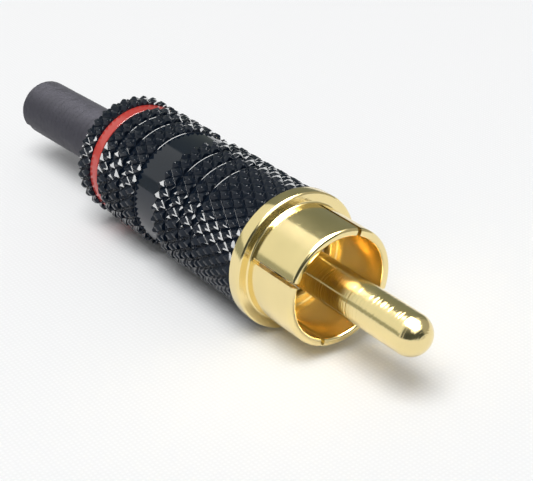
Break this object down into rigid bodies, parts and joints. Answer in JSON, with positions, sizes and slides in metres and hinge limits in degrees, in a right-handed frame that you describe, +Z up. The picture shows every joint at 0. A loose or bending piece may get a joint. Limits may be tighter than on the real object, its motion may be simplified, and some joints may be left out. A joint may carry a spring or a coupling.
{
  "type": "rca plug",
  "caption": "Audio cable plug with a centre pin, a slotted contact sleeve, a knurled screw-on shell with a colour ring, and a spring strain relief.",
  "frame": {"origin": "on the floor, under the middle of the plug's length, with the plug lying on its side", "axes": "+X along the plug towards the tip of the pin, +Z up"},
  "size_m": [0.0529, 0.011, 0.0111],
  "materials": {
    "gold_plate": "bright pale gold plate on turned brass",
    "white_insulator": "smooth moulded plastic",
    "brown_fibre": "dull pressed fibre",
    "tinned_brass": "tinned sheet, half bright",
    "clear_liner": "clear flexible tube",
    "black_plate": "glossy black plate",
    "red_enamel": "glossy red",
    "black_steel": "blackened wire, half dull"
  },
  "bodies": {
    "plug_body": {"outer_contact": "gold_plate", "centre_pin": "gold_plate", "insulating_bush": "white_insulator", "rear_washer": "brown_fibre", "ground_tag": "tinned_brass", "liner_tube": "clear_liner"},
    "strain_relief": {"strain_relief_spring": "black_steel"},
    "shell": {"knurled_shell": "black_plate", "colour_ring": "red_enamel"}
  },
  "joints": [
    {"name": "shell_travel", "type": "slide", "parent": "plug_body", "child": "strain_relief", "axis": [-1, 0, 0], "range_m": [0, 0.00375]},
    {"name": "shell_turn", "type": "hinge", "parent": "strain_relief", "child": "shell", "pos_m": [0, 0, 0.00554], "axis": [-1, 0, 0], "range_deg": [0, 1800]}
  ],
  "couplings": [
    {"joint": "shell_travel", "follows": "shell_turn", "m_per_rad": 0.00011937}
  ]
}
